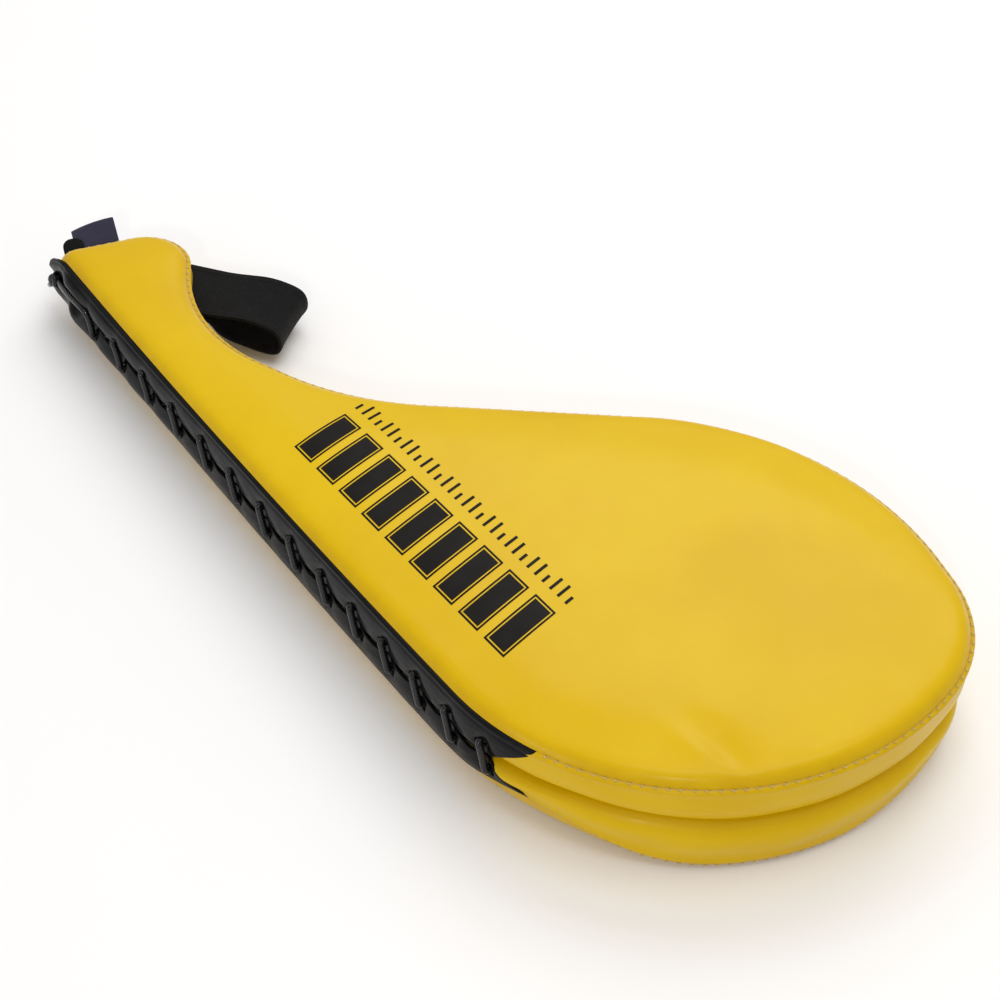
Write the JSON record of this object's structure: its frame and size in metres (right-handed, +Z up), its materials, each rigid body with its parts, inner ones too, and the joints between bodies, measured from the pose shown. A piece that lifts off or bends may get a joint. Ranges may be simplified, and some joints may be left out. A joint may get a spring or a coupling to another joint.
{
  "type": "kick shield",
  "caption": "Hand-held kicking target of two padded teardrop leaves laced together along one straight side, with an elastic hand loop at the handle",
  "frame": {"origin": "on the floor under the middle of the whole object as it lies flat", "axes": "+X from the handle end to the head, -Y the straight laced side, +Y the side with the waisted grip and the hand loop, +Z up"},
  "size_m": [0.427, 0.1738, 0.0491],
  "materials": {
    "cover": "satin coated polyurethane, smooth, soft gloss",
    "strip": "glossy black coated polyurethane",
    "foam": "closed-cell foam, matt, fine cells",
    "stiffener": "pressed plastic strip, matt",
    "thread": "bonded polyester sewing thread",
    "lace": "round waxed cord, glossy",
    "elastic": "woven elastic webbing, matt",
    "label": "woven damask label, folded",
    "webbing": "woven webbing, matt"
  },
  "bodies": {
    "lower_leaf": {"lower_face_panel": "cover", "lower_gusset": "cover", "lower_inner_panel": "cover", "lower_impact_foam": "foam", "lower_backing_foam": "foam", "lower_handle_stiffener": "stiffener", "lower_lace_strip": "strip", "lower_seam_thread": "thread", "lace": "lace", "lace_knot": "lace", "hand_loop_tail": "elastic"},
    "upper_leaf": {"upper_face_panel": "cover", "upper_gusset": "cover", "upper_inner_panel": "cover", "upper_impact_foam": "foam", "upper_backing_foam": "foam", "upper_handle_stiffener": "stiffener", "upper_lace_strip": "strip", "upper_seam_thread": "thread", "woven_label": "label", "hang_tab": "webbing"},
    "hand_loop": {"hand_loop": "elastic"}
  },
  "joints": [
    {"name": "leaf_hinge", "type": "hinge", "parent": "lower_leaf", "child": "upper_leaf", "pos_m": [-0.03603, -0.04896, 0.02022], "axis": [0.9605, -0.2776, 0.0166], "range_deg": [0, 12], "stiffness_Nm_per_rad": 0.3, "deforming": ["lace"]},
    {"name": "hand_loop_swing", "type": "hinge", "parent": "lower_leaf", "child": "hand_loop", "pos_m": [-0.13717, 0.03779, 0.018], "axis": [0.342, -0.9397, 0], "range_deg": [0, 60]}
  ]
}
